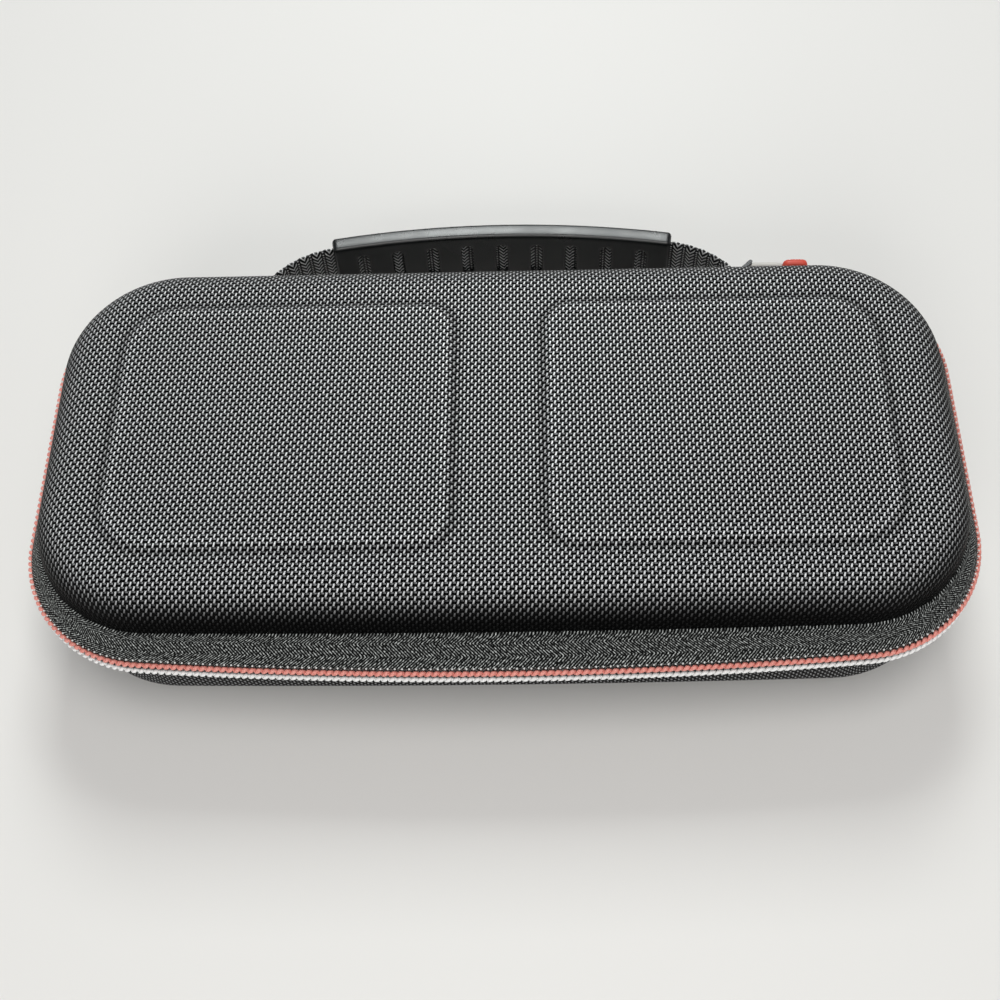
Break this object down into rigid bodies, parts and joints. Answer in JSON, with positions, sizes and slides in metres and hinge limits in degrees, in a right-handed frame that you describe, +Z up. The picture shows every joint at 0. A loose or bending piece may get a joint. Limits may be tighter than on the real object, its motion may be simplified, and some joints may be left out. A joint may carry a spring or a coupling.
{
  "type": "portable game console case",
  "caption": "Zip-round hard-shell travel case for a handheld game console, with a padded tray, a hinged lid, a slotted grip on a webbing handle and a two-colour coil zip.",
  "frame": {"origin": "middle of the base's flat foot, on the table, under the middle of the zip line", "axes": "+X along the case to its right, +Y to the hinge and handle at the back, +Z up"},
  "size_m": [0.27, 0.1664, 0.0582],
  "materials": {
    "shell_fabric": "plain-woven ballistic nylon",
    "tape_fabric": "herringbone zip tape",
    "coil_red": "coiled filament",
    "coil_white": "coiled filament",
    "slider_metal": "black enamel",
    "hinge_fabric": "ribbed tape",
    "pull_white": "soft moulded",
    "pull_red": "soft moulded",
    "webbing": "ribbed webbing",
    "grip_rubber": "satin moulded",
    "tray_velour": "brushed lining on foam",
    "flap_fabric": "padded tricot",
    "pocket_fabric": "fine woven",
    "mesh_fabric": "open mesh",
    "elastic": "ribbed elastic"
  },
  "bodies": {
    "base": {"lower_shell": "shell_fabric", "lower_zip_tape": "tape_fabric", "lower_zip_coil": "coil_white", "zip_end_stops": "slider_metal", "hinge_strip": "hinge_fabric", "handle_webbing": "webbing", "handle_grip": "grip_rubber", "right_handle_patch": "grip_rubber", "left_handle_patch": "grip_rubber", "tray_floor": "tray_velour", "tray_right_strip": "tray_velour", "tray_left_strip": "tray_velour", "tray_front_strip": "tray_velour", "tray_back_strip": "tray_velour"},
    "lid": {"upper_shell": "shell_fabric", "upper_zip_tape": "tape_fabric", "upper_zip_coil": "coil_red", "divider_flap": "flap_fabric", "flap_tape": "hinge_fabric", "card_pockets": "pocket_fabric", "mesh_pocket": "mesh_fabric", "mesh_elastic": "elastic"},
    "slider": {"zip_slider": "slider_metal"},
    "pull": {"pull_loop": "slider_metal", "pull_strap": "pull_white", "pull_tip": "pull_red"}
  },
  "joints": [
    {"name": "lid_hinge", "type": "hinge", "parent": "base", "child": "lid", "pos_m": [0, 0.0635, 0.036], "axis": [-1, 0, 0], "range_deg": [0, 105]},
    {"name": "zip_slide", "type": "slide", "parent": "base", "child": "slider", "axis": [1, 0, 0], "range_m": [0, 0.016]},
    {"name": "pull_swing", "type": "hinge", "parent": "slider", "child": "pull", "pos_m": [0.074, 0.06605, 0.0314], "axis": [0, 0, 1], "range_deg": [0, 115]}
  ]
}
